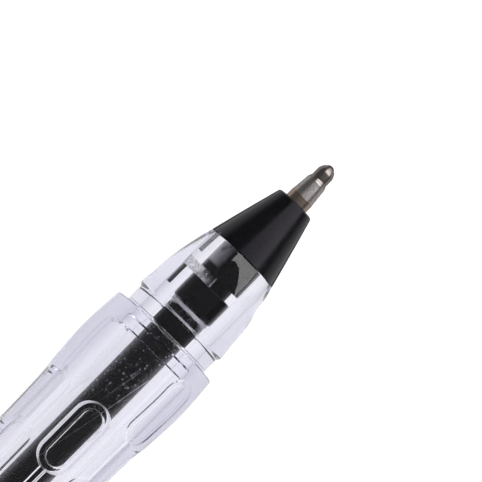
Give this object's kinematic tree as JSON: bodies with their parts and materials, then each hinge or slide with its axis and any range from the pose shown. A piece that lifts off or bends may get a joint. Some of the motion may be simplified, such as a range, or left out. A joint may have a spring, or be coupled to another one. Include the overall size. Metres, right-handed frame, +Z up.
{
  "type": "ballpoint pen",
  "caption": "Capped stick ballpoint pen with a clear grip barrel, black nose cone and refill, and a clip cap posted on its tail.",
  "frame": {"origin": "middle of the pen's length and width, on the surface it lies on", "axes": "+X along the pen towards the point, +Z up; the clip lies low on the -Y side"},
  "size_m": [0.1596, 0.013, 0.0117],
  "materials": {
    "ball_metal": "polished dark carbide",
    "tip_metal": "turned nickel silver with fine turning lines",
    "nose_plastic": "satin moulded polypropylene",
    "tube_plastic": "translucent extruded tube",
    "ink": "wet black ink",
    "grease": "clear follower grease",
    "clear_plastic": "polished clear polystyrene with a faint lavender cast",
    "cap_plastic": "moulded polypropylene with a soft gloss",
    "clip_steel": "pressed stainless strip, finely brushed"
  },
  "bodies": {
    "pen": {"tip_body": "tip_metal", "nose_cone": "nose_plastic", "ink_tube": "tube_plastic", "ink_column": "ink", "ink_follower": "grease", "barrel": "clear_plastic", "tail_plug": "cap_plastic"},
    "ball": {"writing_ball": "ball_metal"},
    "cap": {"cap_shell": "cap_plastic", "cap_crown": "cap_plastic"},
    "clip": {"cap_clip": "clip_steel"}
  },
  "joints": [
    {"name": "ball_roll", "type": "hinge", "parent": "pen", "child": "ball", "pos_m": [0.0793, 0.00064, 0.00587], "axis": [0, 1, 0], "continuous": true},
    {"name": "cap_pull", "type": "slide", "parent": "pen", "child": "cap", "axis": [-1, 0, 0], "range_m": [0, 0.03]},
    {"name": "clip_flex", "type": "hinge", "parent": "cap", "child": "clip", "pos_m": [-0.0774, -0.00355, 0.00279], "axis": [0, 0.5926, -0.8055], "range_deg": [0, 5], "stiffness_Nm_per_rad": 0.4}
  ]
}
